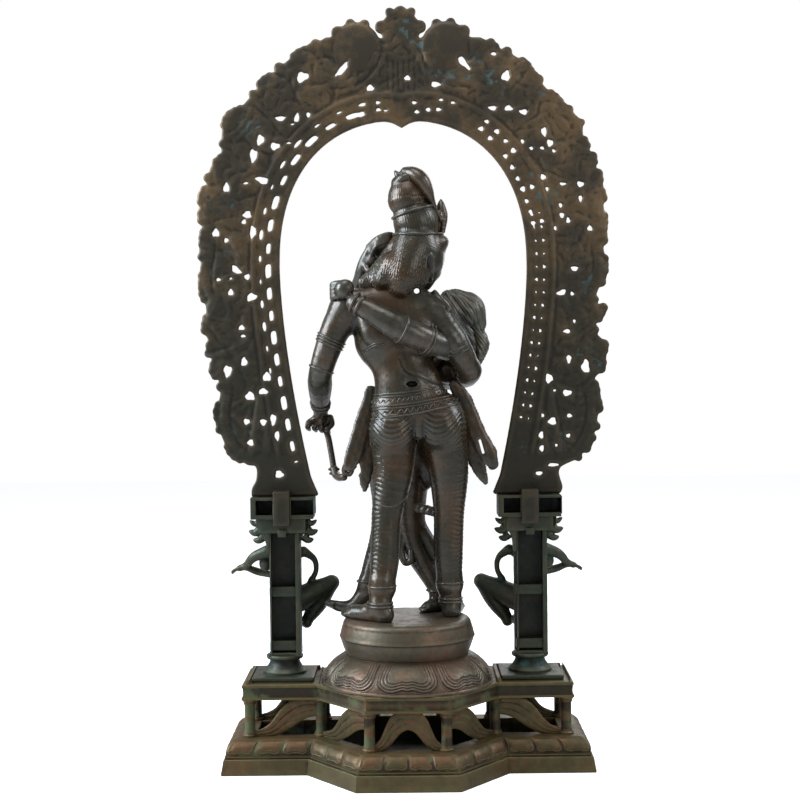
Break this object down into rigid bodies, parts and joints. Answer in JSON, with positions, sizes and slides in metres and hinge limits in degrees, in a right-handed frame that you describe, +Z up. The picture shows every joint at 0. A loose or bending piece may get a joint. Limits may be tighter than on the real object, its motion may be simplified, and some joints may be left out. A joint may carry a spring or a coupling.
{
  "type": "bronze statue of an embracing divine couple under an openwork arch",
  "caption": "Cast bronze divine couple in embrace on a round lotus pedestal, with a stepped gallery base, two pillars with attendants and an openwork horseshoe arch.",
  "frame": {"origin": "on the flat underside of the base, on the axis of the round lotus pedestal", "axes": "+Z up, -Y towards the statue's front, +X towards its left side as the figures' backs are seen"},
  "size_m": [0.9876, 0.483, 1.812],
  "materials": {
    "bronze_brown": "dark brown patinated bronze with polished high points and red-brown patches",
    "bronze_green": "dark bronze with green verdigris in its recesses",
    "bronze_gold": "dark bronze rubbed to gold-brown, with verdigris in its recesses"
  },
  "bodies": {
    "root": {"base": "bronze_green", "lotus_pedestal": "bronze_brown", "krishna_and_radha": "bronze_brown", "pillar_left": "bronze_green", "pillar_right": "bronze_green", "arch": "bronze_gold"}
  },
  "joints": []
}
